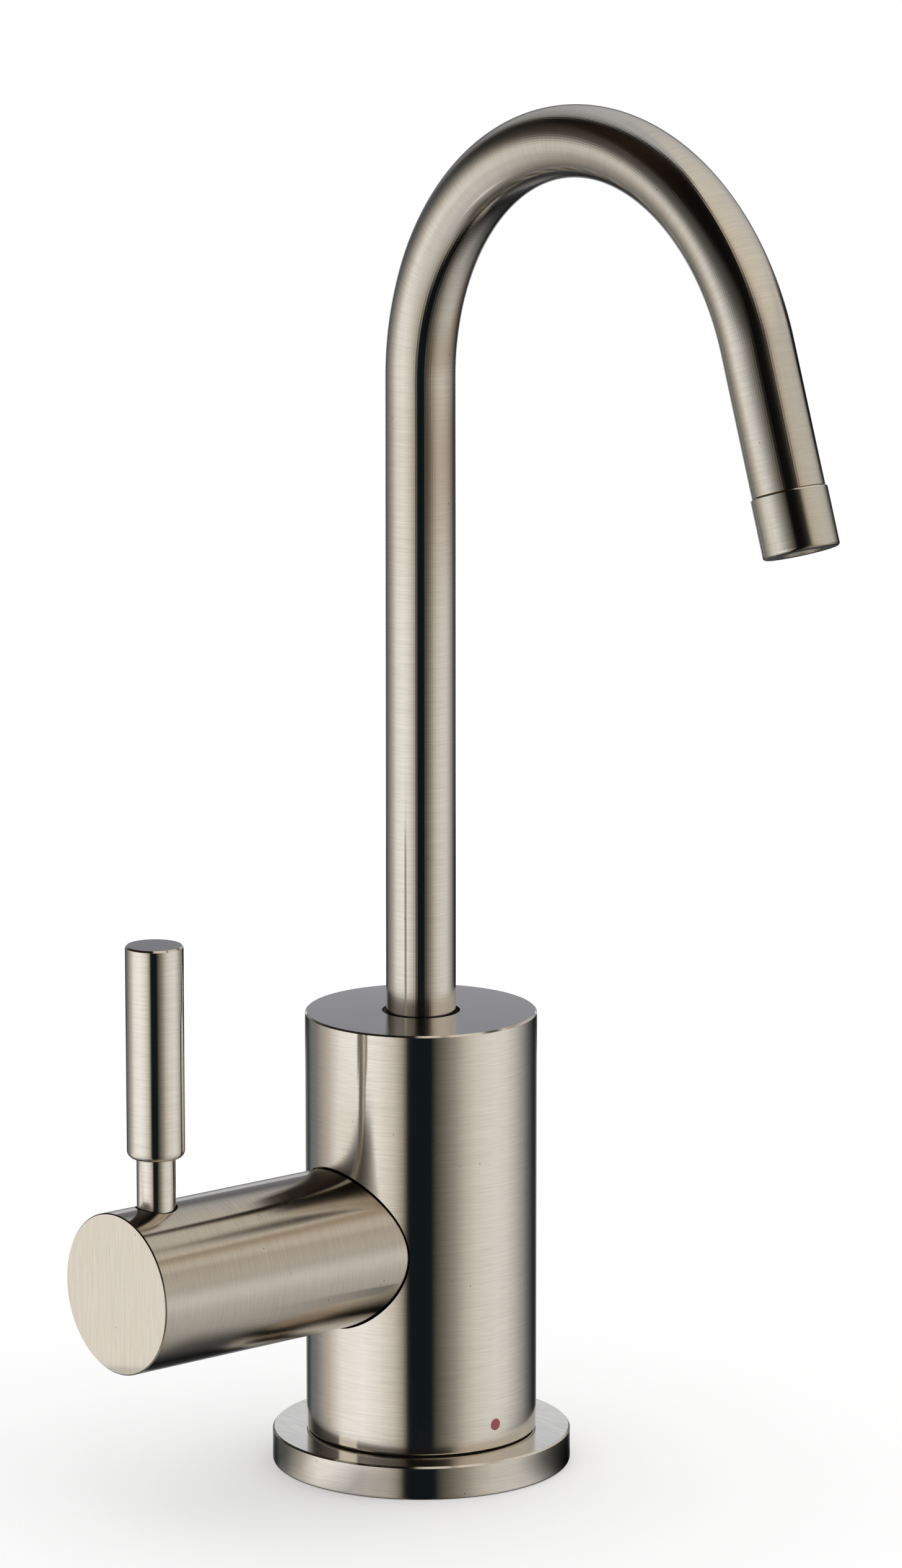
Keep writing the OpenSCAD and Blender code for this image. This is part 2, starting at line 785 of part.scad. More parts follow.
module handle_hub() {
    color(nickel) difference() {
        on_hub_axis(0) difference() {
            translate([0, 0, hub_start]) rotate_extrude()
                bar_outline(hub_r, 0, hub_end - hub_start, hub_bevel, hub_bevel);
            rod(hub_bore_r, hub_start - overrun, hub_bore_end);
            hub_grub_hole();
        }
        translate([-lever_x, 0, 0]) {
            rod(stem_d / 2 + spot_gap, stem_foot, hub_z + hub_r + overrun);
            rod(stem_thread_d / 2 + slip_gap, stem_foot - stem_low_len - loose_gap, stem_foot + overrun);
        }
    }
}

module lever_stem() {
    color(nickel) translate([-lever_x, 0, 0]) {
        rod(stem_thread_d / 2, stem_foot - stem_low_len, stem_foot + overrun);
        rod(stem_d / 2, stem_foot, grip_z);
        rod(stem_thread_d / 2, grip_z - overrun, grip_z + stem_top_len);
    }
}

module lever_grip() {
    color(nickel) translate([-lever_x, 0, 0]) difference() {
        rotate_extrude() bar_outline(grip_d / 2, grip_z, grip_z + grip_len, grip_round, grip_bevel);
        rod(stem_thread_d / 2 + slip_gap, grip_z - overrun, grip_z + stem_top_len + loose_gap);
    }
}

base_plate();
base_gasket();
body_shell();
body_seal();
hot_mark();
valve_block();
cross_plug();
port_washers();
spout_bush();
spout_grub_screw();
cartridge_seal();
cartridge_sleeve();
cartridge_ring();
fixed_disc();
bonnet_nut();
hub_bearing();
return_spring();
spout_ferrule();
spout_rings();
spout_tube();
outlet_adapter();
aerator_washer();
aerator_insert();
aerator_housing();
moving_disc();
valve_stem();
stem_rings();
stop_washer();
stem_clip();
hub_insert();
hub_grub_screw();
handle_hub();
lever_stem();
lever_grip();
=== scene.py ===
import json
import math

import bpy
from mathutils import Euler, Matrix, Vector


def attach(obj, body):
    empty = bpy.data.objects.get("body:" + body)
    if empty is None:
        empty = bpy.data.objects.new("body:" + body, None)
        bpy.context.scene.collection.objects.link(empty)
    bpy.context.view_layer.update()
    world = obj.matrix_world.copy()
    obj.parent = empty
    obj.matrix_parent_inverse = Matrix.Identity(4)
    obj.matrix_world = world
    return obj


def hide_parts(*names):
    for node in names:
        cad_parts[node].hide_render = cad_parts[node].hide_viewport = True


# Instant hot water faucet. Metres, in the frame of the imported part: the deck is z = 0, the body
# stands on the Z axis, the spout points to -Y and the handle hub to -X.
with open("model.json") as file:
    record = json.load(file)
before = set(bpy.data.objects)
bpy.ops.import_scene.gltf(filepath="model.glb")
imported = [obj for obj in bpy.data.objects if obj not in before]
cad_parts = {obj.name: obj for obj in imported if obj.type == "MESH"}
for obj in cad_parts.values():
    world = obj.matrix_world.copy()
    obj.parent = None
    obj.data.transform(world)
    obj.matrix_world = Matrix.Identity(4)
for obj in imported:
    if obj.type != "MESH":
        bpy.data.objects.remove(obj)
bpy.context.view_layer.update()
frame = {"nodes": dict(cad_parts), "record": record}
nodes = frame["nodes"]
mm = 0.001
degree = math.radians(1)


def linear(hexColour):
    # sRGB hex to the linear values that the shaders work in
    parts = [int(hexColour[i:i + 2], 16) / 255 for i in (1, 3, 5)]
    return (*(p / 12.92 if p <= 0.04045 else ((p + 0.055) / 1.055) ** 2.4 for p in parts), 1.0)


def addNode(tree, kind, inputs=None, **settings):
    # a node with its settings and links; an input takes a value, an output, a node, which stands
    # for its first output, or a list of nodes
    node = tree.nodes.new(kind)
    for name, value in settings.items():
        setattr(node, name, value)
    for name, value in (inputs or {}).items():
        for source in value if isinstance(value, list) else [value]:
            if isinstance(source, bpy.types.Node):
                source = source.outputs[0]
            if isinstance(source, bpy.types.NodeSocket):
                tree.links.new(source, node.inputs[name])
            else:
                node.inputs[name].default_value = source
    return node


def profile(tree, value, low, high, stops, unit=1.0):
    # the level at a height or an angle between low and high, from stops of (place, level), where
    # a level is a hex colour or a share of white
    share = addNode(tree, "ShaderNodeMapRange", {"Value": value, "From Min": low * unit,
                    "From Max": high * unit})
    ramp = addNode(tree, "ShaderNodeValToRGB", {0: share})
    elements = ramp.color_ramp.elements
    while len(elements) < len(stops):
        elements.new(1.0)
    for element, (place, level) in zip(elements, stops):
        element.position = (place - low) / (high - low)
        element.color = linear(level) if isinstance(level, str) else (level, level, level, 1.0)
    return ramp


def addMaterial(name):
    material = bpy.data.materials.new(name)
    material.use_nodes = True
    material.node_tree.nodes.clear()
    return material, material.node_tree


def addObject(name, data):
    thing = bpy.data.objects.new(name, data)
    bpy.context.scene.collection.objects.link(thing)
    return thing


def addSheet(name, points, faces, material):
    mesh = bpy.data.meshes.new(name)
    mesh.from_pydata(points, [], faces)
    mesh.materials.append(material)
    return addObject(name, mesh)


def flatCorners(low, across, up):
    # from the middle of the lower edge, half the width and the whole height
    return [low - across, low + across, low + across + up, low - across + up]


# The camera stands left in front of the faucet and looks slightly down, as in the photograph.
photoCamera = {
    "place": (-0.75576, -0.91290, 0.35871),
    "turn": -39.87,
    "tilt": 78.60,
    "lens": 162.14,
    "sensor": 36,
}


def buildCamera():
    data = bpy.data.cameras.new("photoCamera")
    data.lens = photoCamera["lens"]
    data.sensor_width = photoCamera["sensor"]
    camera = addObject("photoCamera", data)
    camera.location = photoCamera["place"]
    camera.rotation_euler = Euler((photoCamera["tilt"] * degree, 0, photoCamera["turn"] * degree))
    bpy.context.scene.camera = camera
    bpy.context.scene.view_settings.view_transform = "Standard"


# The room, as the metal shows it: a tall soft box on each side of the camera, the dark room
# between them, and on the right a box that goes on overhead. Degrees run round from the camera,
# positive to its right, and up from level.
room = {
    "cameraTurn": 39.62,
    "strength": 1.25,
    "white": "#FFFFFF",
    "lowSides": [(-180, "#CBCCCC"), (-168, "#8E8F90"), (-158, "#4A4C4D"), (-151, "#3E4244"),
                 (-142, "#6A6F71"), (-128, "#7D7E7C"), (-106, "#BDB7AF"), (-86, "#F4F3F0"),
                 (-60, "#FFFFFF"), (-42, "#F2F0EC"), (-27, "#D5D0C7"), (-19, "#AAA498"),
                 (-13, "#2A2B2C"), (-10, "#131A1E"), (10, "#131A1E"), (15, "#4F4D47"),
                 (24, "#767269"), (34, "#9A958C"), (44, "#C1BCB3"), (56, "#D8D5CE"),
                 (68, "#E0DEDA"), (80, "#E4E3E0"), (92, "#DEDDDA"), (104, "#C8C8C5"),
                 (115, "#A9A9A7"), (125, "#868787"), (134, "#5F6162"), (143, "#3E4143"),
                 (152, "#1E2022"), (162, "#44474A"), (170, "#A9ACAF")],
    "highSides": [(-180, "#ACAEB0"), (-170, "#A0A2A4"), (-151, "#8C8D8E"), (-143, "#4A4745"),
                  (-136, "#1A1613"), (-126, "#120F0D"), (-112, "#241C15"), (-85, "#241C15"),
                  (-50, "#100D0B"), (-12, "#0C0B0A"), (22, "#12100E"), (28, "#2A2622"),
                  (34, "#857D72"), (42, "#B4AB9E"), (58, "#CDC6BA"), (80, "#CFC9BF"),
                  (100, "#CBC7BF"), (125, "#C7C4BE"), (150, "#BAB9B7"), (172, "#AEB0B2")],
    "highLean": 0.85,  # how far the high box's near edge leans to the left as it rises
    "leanFrom": 23,
    "heights": [(-90, 0.06), (-74, 0.12), (-66, 0.3), (-58, 0.5), (-48, 0.54), (-42, 0.6),
                (-34, 0.66), (-26, 0.72), (-20, 0.8), (-14, 0.9), (-8, 0.93), (-4, 0.86),
                (0, 0.77), (5, 0.64)],
    # from the boxes at the sides to the ceiling above them
    "highShares": [(-4, 0.0), (2, 0.13), (6, 0.34), (10, 0.62), (14, 0.8), (18, 0.88), (28, 0.93),
                   (35, 1.0)],
    "spreadFrom": -14,  # below this the side boxes reach further round to the back
    "spreadWhole": -26,
    "spread": 0.06,
    # a dimmer gap between the right box and the ceiling
    "gapSides": [(40, 0.0), (58, 1.0), (104, 1.0), (122, 0.0)],
    "gapHeights": [(6, 0.0), (24, 1.0), (28, 0.0)],
    "gapDepth": 0.2,
}


def placeRound(tree, coordinate):
    # the turn round the faucet's axis from the camera's side, in radians, and the height
    coords = addNode(tree, "ShaderNodeTexCoord")
    turned = addNode(tree, "ShaderNodeMapping", {"Vector": coords.outputs[coordinate],
                     "Rotation": (0, 0, room["cameraTurn"] * degree)})
    split = addNode(tree, "ShaderNodeSeparateXYZ", {0: turned}).outputs
    front = addNode(tree, "ShaderNodeMath", {0: split["Y"], 1: -1.0}, operation="MULTIPLY")
    turn = addNode(tree, "ShaderNodeMath", {0: split["X"], 1: front}, operation="ARCTAN2")
    return turn, split["Z"]


def sideLevels(tree, turn, stops):
    return profile(tree, turn, -180, 180, stops, degree)


def riseLevels(tree, rise, stops):
    return profile(tree, rise, -90, 90, stops, degree)


def buildRoom():
    world = bpy.data.worlds.new("softStudio")
    world.use_nodes = True
    # its whole surface is the light, so no part of it is picked out
    world.cycles.sampling_method = "NONE"
    tree = world.node_tree
    tree.nodes.clear()
    turn, up = placeRound(tree, "Generated")
    rise = addNode(tree, "ShaderNodeMath", {0: up}, operation="ARCSINE")
    above = addNode(tree, "ShaderNodeMath", {0: rise, 1: room["leanFrom"] * degree},
                    operation="SUBTRACT")
    kept = addNode(tree, "ShaderNodeMath", {0: above, 1: 0.0}, operation="MAXIMUM")
    ahead = addNode(tree, "ShaderNodeMath", {0: turn}, operation="COSINE")
    lean = addNode(tree, "ShaderNodeMath", {0: kept, 1: ahead}, operation="MULTIPLY")
    highTurn = addNode(tree, "ShaderNodeMath", {0: lean, 1: room["highLean"], 2: turn},
                       operation="MULTIPLY_ADD")
    nearer = addNode(tree, "ShaderNodeMapRange", {"Value": rise,
                     "From Min": room["spreadFrom"] * degree,
                     "From Max": room["spreadWhole"] * degree,
                     "To Min": 1.0, "To Max": 1 - room["spread"]})
    lowTurn = addNode(tree, "ShaderNodeMath", {0: turn, 1: nearer}, operation="MULTIPLY")
    gap = addNode(tree, "ShaderNodeMath", {0: sideLevels(tree, turn, room["gapSides"]),
                  1: riseLevels(tree, rise, room["gapHeights"])}, operation="MULTIPLY")
    strength = addNode(tree, "ShaderNodeMapRange", {"Value": gap, "To Min": room["strength"],
                       "To Max": room["strength"] * (1 - room["gapDepth"])})
    low = addNode(tree, "ShaderNodeVectorMath", {0: sideLevels(tree, lowTurn, room["lowSides"]),
                  1: riseLevels(tree, rise, room["heights"])}, operation="MULTIPLY")
    high = sideLevels(tree, highTurn, room["highSides"])
    lowBoxes = addNode(tree, "ShaderNodeBackground", {"Color": low, "Strength": strength})
    highBoxes = addNode(tree, "ShaderNodeBackground", {"Color": high, "Strength": strength})
    boxes = addNode(tree, "ShaderNodeMixShader", {0: riseLevels(tree, rise, room["highShares"]),
                    1: lowBoxes, 2: highBoxes})
    # what isn't a reflection or seen through glass meets plain white
    white = addNode(tree, "ShaderNodeBackground", {"Color": linear(room["white"])})
    light = addNode(tree, "ShaderNodeLightPath").outputs
    mirrored = addNode(tree, "ShaderNodeMath", {0: light["Is Glossy Ray"],
                       1: light["Is Transmission Ray"]}, operation="MAXIMUM")
    whole = addNode(tree, "ShaderNodeMixShader", {0: mirrored, 1: white, 2: boxes})
    addNode(tree, "ShaderNodeOutputWorld", {"Surface": whole})
    bpy.context.scene.world = world


def stageCard(name, points, faces, material):
    # a sheet of the studio that only reflections meet
    card = addSheet(name, points, faces, material)
    card.visible_camera = False
    card.visible_diffuse = False
    card.visible_shadow = False


# The backdrop hangs close behind the faucet: bright low down, dim at the faucet's middle, bright
# again at the height of the gooseneck.
backdrop = {
    "distance": 0.5,
    "halfWidth": 0.21,
    "height": 0.44,
    "levels": [(0.0, "#5A5C60"), (0.03, "#8E9094"), (0.08, "#9EA0A4"), (0.11, "#C6CACF"),
               (0.135, "#D4D8DE"), (0.165, "#D4D8DE"), (0.185, "#80818A"), (0.21, "#777880"),
               (0.34, "#626469"), (0.42, "#A4A6A9")],
}
cameraTurn = room["cameraTurn"] * degree
awayFromCamera = Vector((math.sin(cameraTurn), math.cos(cameraTurn), 0))
alongBackdrop = Vector((math.cos(cameraTurn), -math.sin(cameraTurn), 0)) * backdrop["halfWidth"]


def buildBackdrop():
    material, tree = addMaterial("litPaperBackdrop")
    coords = addNode(tree, "ShaderNodeTexCoord")
    height = addNode(tree, "ShaderNodeSeparateXYZ", {0: coords.outputs["Object"]}).outputs["Z"]
    level = profile(tree, height, 0, backdrop["height"], backdrop["levels"])
    glow = addNode(tree, "ShaderNodeEmission", {"Color": level, "Strength": room["strength"]})
    addNode(tree, "ShaderNodeOutputMaterial", {"Surface": glow})
    corners = flatCorners(awayFromCamera * backdrop["distance"], alongBackdrop,
                          Vector((0, 0, backdrop["height"])))
    stageCard("studioBackdrop", corners, [range(4)], material)


# Smoked films for the shades that the metal shows: a disc on the table round the base plate, a
# strip on the table in front of the backdrop, a veil that stands round the faucet and warms and
# dims the boxes for the upper riser, and a film for the dark edge of the spout's straight end.
# Degrees run round from the camera's side.
films = {
    "lift": 0.0002,
    "ringStep": 6,
    "veils": {  # how much of the film's colour there is, by height in metres and by degrees round
        "smokedVeil": {
            "radius": 0.115, "colour": "#BFAA90",
            "heights": [(0.124, 0.0), (0.135, 0.18), (0.143, 0.42), (0.151, 0.78), (0.158, 0.9),
                        (0.166, 1.0), (0.178, 0.0)],
            "sides": [(-120, 0.0), (-110, 0.15), (-60, 0.2), (-30, 0.3), (-14, 0.0), (14, 0.0),
                      (21, 0.95), (30, 0.95), (55, 0.64), (86, 0.84), (134, 0.8), (155, 0.0)],
        },
        "smokedEdge": {
            "radius": 0.116, "colour": "#3A3A3C",
            "heights": [(0.178, 0.0), (0.19, 1.0), (0.222, 1.0), (0.24, 0.0)],
            "sides": [(78, 0.0), (88, 1.0), (104, 1.0), (112, 0.0)],
        },
    },
    "discRadius": 0.043,
    # how clear the disc is, by degrees round
    "discSides": [(-140, 1.0), (-116, 0.9), (-98, 0.52), (-85, 0.46), (-62, 1.0), (-50, 0.95),
                  (-31, 0.48), (-19, 0.6), (0, 1.0), (20, 1.0), (40, 0.86), (52, 0.74), (62, 0.46),
                  (72, 0.2), (84, 0.12), (96, 0.18), (108, 0.55), (120, 1.0)],
    "stripClearness": 0.15,
    "stripFrom": 0.3,
    "stripTo": 0.499,
}


def addFilm(name, points, faces, filmColour):
    # filmColour gives the colour that the film lets through, and may add nodes for it
    material, tree = addMaterial(name)
    film = addNode(tree, "ShaderNodeBsdfTransparent", {"Color": filmColour(tree)})
    addNode(tree, "ShaderNodeOutputMaterial", {"Surface": film})
    stageCard(name, points, faces, material)


def discColour(tree):
    turn = placeRound(tree, "Object")[0]
    return sideLevels(tree, turn, films["discSides"])


def stripColour(tree):
    return (*[films["stripClearness"]] * 3, 1.0)


def veilColour(tree, veil):
    turn, height = placeRound(tree, "Object")
    low, high = veil["heights"][0][0], veil["heights"][-1][0]
    smoke = addNode(tree, "ShaderNodeMath", {0: profile(tree, height, low, high, veil["heights"]),
                    1: sideLevels(tree, turn, veil["sides"])}, operation="MULTIPLY")
    clear = Vector((1, 1, 1))
    return addNode(tree, "ShaderNodeVectorMath", {0: smoke,
                   1: Vector(linear(veil["colour"])[:3]) - clear, 2: clear},
                   operation="MULTIPLY_ADD")


def buildFilms():
    ring = [Vector((math.cos(turn * degree), math.sin(turn * degree), 0))
            for turn in range(0, 360, films["ringStep"])]
    count = len(ring)
    lift = Vector((0, 0, films["lift"]))
    rim = [films["discRadius"] * way + lift for way in ring]
    addFilm("smokedDisc", rim, [range(count)], discColour)
    walls = [(i, (i + 1) % count, count + (i + 1) % count, count + i) for i in range(count)]
    for name, veil in films["veils"].items():
        ends = [Vector((0, 0, veil["heights"][end][0])) for end in (0, -1)]
        points = [veil["radius"] * way + end for end in ends for way in ring]
        addFilm(name, points, walls, lambda tree: veilColour(tree, veil))
    near, far = (awayFromCamera * films[place] + lift for place in ("stripFrom", "stripTo"))
    addFilm("smokedStrip", flatCorners(near, alongBackdrop, far - near), [range(4)], stripColour)


# A small lit card beside the hub, which brightens the hub's end face from the camera's side.
sideCard = {
    "place": (-0.098, 0.0386, 0.031),
    "facing": 140,  # degrees from +X
    "halfWidth": 0.02,
    "halfHeight": 0.017,
    "colour": "#F4F0E8",
}


def buildSideCard():
    material, tree = addMaterial("litPaperCard")
    glow = addNode(tree, "ShaderNodeEmission", {"Color": linear(sideCard["colour"])})
    addNode(tree, "ShaderNodeOutputMaterial", {"Surface": glow})
    turn = (sideCard["facing"] - 90) * degree
    across = Vector((math.cos(turn), math.sin(turn), 0)) * sideCard["halfWidth"]
    up = Vector((0, 0, sideCard["halfHeight"]))
    corners = flatCorners(Vector(sideCard["place"]) - up, across, 2 * up)
    stageCard("sideCard", corners, [range(4)], material)


floorPlan = {
    "half": 14.0,
    "colour": "#EFEFEF",
    # what the camera sees on top of the floor's own shade, so that it ends up white
    "lift": 0.165,
}


def buildFloor():
    material, tree = addMaterial("palePaperFloor")
    light = addNode(tree, "ShaderNodeLightPath").outputs
    side = addNode(tree, "ShaderNodeNewGeometry").outputs
    lift = addNode(tree, "ShaderNodeMath", {0: light["Is Camera Ray"], 1: floorPlan["lift"]},
                   operation="MULTIPLY")
    paper = addNode(tree, "ShaderNodeBsdfDiffuse", {"Color": linear(floorPlan["colour"])})
    glow = addNode(tree, "ShaderNodeEmission", {"Strength": lift})
    top = addNode(tree, "ShaderNodeAddShader", {0: paper, 1: glow})
    clear = addNode(tree, "ShaderNodeBsdfTransparent")
    # seen from below the floor is open
    whole = addNode(tree, "ShaderNodeMixShader", {0: side["Backfacing"], 1: top, 2: clear})
    addNode(tree, "ShaderNodeOutputMaterial", {"Surface": whole})
    half = floorPlan["half"]
    corners = flatCorners(Vector((0, -half, 0)), Vector((half, 0, 0)), Vector((0, 2 * half, 0)))
    floor = addSheet("studioFloor", corners, [range(4)], material)
    floor.visible_glossy = False


buildCamera()
buildRoom()
buildBackdrop()
buildFilms()
buildSideCard()
buildFloor()
print("camera, room and floor stand")

# Nickel plate over brass, brushed with a fine belt while it turns, so the lines run round each
# piece, and straight across its flat ends. The eye gets a warm grey metal with crisp bands round
# the piece, a long soft glow along it, and a few stray scratches and specks. Sizes are in mm.
nickel = {
    "colour": "#E5DFD6",
    "wallRoughness": 0.125,
    "faceRoughness": 0.11,
    "anisotropy": 0.92,
    "faceFrom": 0.8,  # cosine to the piece's axis from which a surface is a flat end
    "acrossShare": 0.05,  # leans the brushing's direction over, so that a flat end has one too
    # the belt's lines, askew by degrees: a 240 grit belt's are finer than this, and they are
    # drawn as coarse as they show
    "belt": {"spacing": 0.26, "length": 7.0, "askew": 0.7},
    "strays": {"spacing": 0.3, "length": 8.0, "askew": -1.6},
    "lineDetail": 4.0,
    "lineBreaks": 0.62,
    # what a line does to the colour and the roughness, from a weak one to a strong one
    "lineFrom": 0.3,
    "lineTo": 0.7,
    "lineTints": (0.905, 1.035),
    "lineRoughness": (0.01, -0.03),
    "strayFrom": 0.64,
    "strayTo": 0.76,
    "strayTints": (1.0, 0.84),
    "lineDepth": 0.003,
    "lineBump": 0.15,
    # soft clouds in the shine, where the belt pressed more or less
    "cloudSize": 9.0,
    "cloudDetail": 2.0,
    "cloudRoughness": 0.04,
    "speckSpacing": 4.0,
    "speckSize": 0.09,
    "speckEdge": 1.6,  # where a speck ends, as a multiple of its size
    "speckTint": 0.3,
}


def startMaterial(name):
    material, tree = addMaterial(name)
    shader = addNode(tree, "ShaderNodeBsdfPrincipled")
    addNode(tree, "ShaderNodeOutputMaterial", {"Surface": shader})
    return material, tree, shader


def brushLines(tree, place, faceShare, faceLines, layer):
    # noise drawn out along the brushing: round the walls, and along faceLines on the flat ends
    askew = layer["askew"] * degree
    turned = addNode(tree, "ShaderNodeMapping", {"Vector": place,
                     "Rotation": (askew, -askew, askew)})
    fine = 1 / (layer["spacing"] * mm)
    long = 1 / (layer["length"] * mm)
    wallScale = Vector((long, long, fine))
    faceScale = Vector((fine, long, long) if faceLines == "Y" else (long, fine, long))
    scale = addNode(tree, "ShaderNodeVectorMath", {0: faceShare, 1: faceScale - wallScale,
                    2: wallScale}, operation="MULTIPLY_ADD")
    stretched = addNode(tree, "ShaderNodeVectorMath", {0: turned, 1: scale}, operation="MULTIPLY")
    return addNode(tree, "ShaderNodeTexNoise", {"Vector": stretched, "Scale": 1.0,
                   "Detail": nickel["lineDetail"], "Roughness": nickel["lineBreaks"]})


def brushedNickel(name, axis, faceAcross, turn=(0, 0, 0), faceLines="Y", alongTube=False,
                  wallColourAndShade=nickel["colour"], faceColourAndShade=nickel["colour"]):
    # axis is the piece's own axis and faceAcross the direction across the lines on its flat ends;
    # turn brings the axis to Z for the pattern; a bent tube reads the attributes of its mesh
    material, tree, shader = startMaterial(name)
    coords = addNode(tree, "ShaderNodeTexCoord").outputs
    if alongTube:
        place = addNode(tree, "ShaderNodeAttribute",
                        attribute_name="straightPlace").outputs["Vector"]
        brushing = addNode(tree, "ShaderNodeAttribute", attribute_name="flow").outputs["Vector"]
        faceShare = addNode(tree, "ShaderNodeValue")
        faceShare.outputs[0].default_value = 0.0
    else:
        place = addNode(tree, "ShaderNodeMapping", {"Vector": coords["Object"], "Rotation": turn})
        brushing = Vector(axis) + nickel["acrossShare"] * Vector(faceAcross)
        facing = addNode(tree, "ShaderNodeVectorMath", {0: coords["Normal"], 1: axis},
                         operation="DOT_PRODUCT").outputs["Value"]
        size = addNode(tree, "ShaderNodeMath", {0: facing}, operation="ABSOLUTE")
        faceShare = addNode(tree, "ShaderNodeMath", {0: size, 1: nickel["faceFrom"]},
                            operation="GREATER_THAN")
    lines = brushLines(tree, place, faceShare, faceLines, nickel["belt"])
    strays = brushLines(tree, place, faceShare, faceLines, nickel["strays"])
    cloud = addNode(tree, "ShaderNodeTexNoise", {"Vector": place,
                    "Scale": 1 / (nickel["cloudSize"] * mm), "Detail": nickel["cloudDetail"]})
    specks = addNode(tree, "ShaderNodeTexVoronoi", {"Vector": place,
                     "Scale": 1 / (nickel["speckSpacing"] * mm)})
    speckShare = nickel["speckSize"] / nickel["speckSpacing"]
    speck = addNode(tree, "ShaderNodeMapRange", {"Value": specks.outputs["Distance"],
                    "From Min": speckShare, "From Max": nickel["speckEdge"] * speckShare,
                    "To Min": nickel["speckTint"], "To Max": 1.0})
    tint = addNode(tree, "ShaderNodeMapRange", {"Value": lines, "From Min": nickel["lineFrom"],
                   "From Max": nickel["lineTo"], "To Min": nickel["lineTints"][0],
                   "To Max": nickel["lineTints"][1]})
    scratch = addNode(tree, "ShaderNodeMapRange", {"Value": strays,
                      "From Min": nickel["strayFrom"], "From Max": nickel["strayTo"],
                      "To Min": nickel["strayTints"][0], "To Max": nickel["strayTints"][1]})
    lined = addNode(tree, "ShaderNodeMath", {0: tint, 1: scratch}, operation="MULTIPLY")
    spotted = addNode(tree, "ShaderNodeMath", {0: lined, 1: speck}, operation="MULTIPLY")
    # the colour of the walls and of the flat ends: the nickel's own colour, darkened into painted
    # shade on the hub, the outlet and the tube
    wall, face = (Vector(linear(colour)[:3]) for colour in (wallColourAndShade, faceColourAndShade))
    own = addNode(tree, "ShaderNodeVectorMath", {0: faceShare, 1: face - wall, 2: wall},
                  operation="MULTIPLY_ADD")
    shade = addNode(tree, "ShaderNodeVectorMath", {0: own, "Scale": spotted}, operation="SCALE")
    rough = addNode(tree, "ShaderNodeMapRange", {"Value": lines, "From Min": nickel["lineFrom"],
                    "From Max": nickel["lineTo"],
                    "To Min": nickel["wallRoughness"] + nickel["lineRoughness"][0],
                    "To Max": nickel["wallRoughness"] + nickel["lineRoughness"][1]})
    onFace = addNode(tree, "ShaderNodeMath", {0: faceShare,
                     1: nickel["faceRoughness"] - nickel["wallRoughness"], 2: rough},
                     operation="MULTIPLY_ADD")
    mottle = addNode(tree, "ShaderNodeMath", {0: cloud, 1: nickel["cloudRoughness"], 2: onFace},
                     operation="MULTIPLY_ADD")
    bump = addNode(tree, "ShaderNodeBump", {"Height": lines, "Strength": nickel["lineBump"],
                   "Distance": nickel["lineDepth"] * mm})
    tangent = addNode(tree, "ShaderNodeVectorTransform", {0: brushing}, vector_type="VECTOR",
                      convert_from="OBJECT", convert_to="WORLD")
    for socket, source in (("Base Color", shade), ("Roughness", mottle), ("Normal", bump),
                           ("Tangent", tangent)):
        tree.links.new(source.outputs[0], shader.inputs[socket])
    shader.inputs["Metallic"].default_value = 1.0
    shader.inputs["Anisotropic"].default_value = nickel["anisotropy"]
    return material


# The grain that moulding, turning or lapping leaves on the other materials, in mm. It is finer on
# the real ones, and drawn as coarse as it shows.
grain = {
    "size": 0.3,
    "detail": 4.0,
    "depth": 0.01,
    "bump": 0.3,
    "roughness": 0.06,  # how far it takes the roughness up and down
}


def plainMaterial(name, hexColour, roughness, metallic=0.0, ior=None):
    material, tree, shader = startMaterial(name)
    coords = addNode(tree, "ShaderNodeTexCoord").outputs
    noise = addNode(tree, "ShaderNodeTexNoise", {"Vector": coords["Object"],
                    "Scale": 1 / (grain["size"] * mm), "Detail": grain["detail"]})
    rough = addNode(tree, "ShaderNodeMapRange", {"Value": noise,
                    "To Min": roughness - grain["roughness"],
                    "To Max": roughness + grain["roughness"]})
    bump = addNode(tree, "ShaderNodeBump", {"Height": noise, "Strength": grain["bump"],
                   "Distance": grain["depth"] * mm})
    tree.links.new(rough.outputs[0], shader.inputs["Roughness"])
    tree.links.new(bump.outputs[0], shader.inputs["Normal"])
    shader.inputs["Base Color"].default_value = linear(hexColour)
    shader.inputs["Metallic"].default_value = metallic
    if ior:
        shader.inputs["IOR"].default_value = ior
    return material


zAxis = (0, 0, 1)
xAxis = (1, 0, 0)
yAxis = (0, 1, 0)

# The gooseneck, in millimetres and degrees: a straight riser, one bend and a short straight drop.
gooseneck = {
    "start": 73.95,
    "bendStart": 190.1,
    "bendRadius": 43.4,
    "bendAngle": 161.2,
    "drop": 23.8,
    "radius": 6.0,
    "wall": 1.0,
    "sides": 96,
    "ringStep": 0.8,
    "weld": 0.01,
}
bendAngle = gooseneck["bendAngle"] * degree
endWay = (0, -math.sin(bendAngle), math.cos(bendAngle))

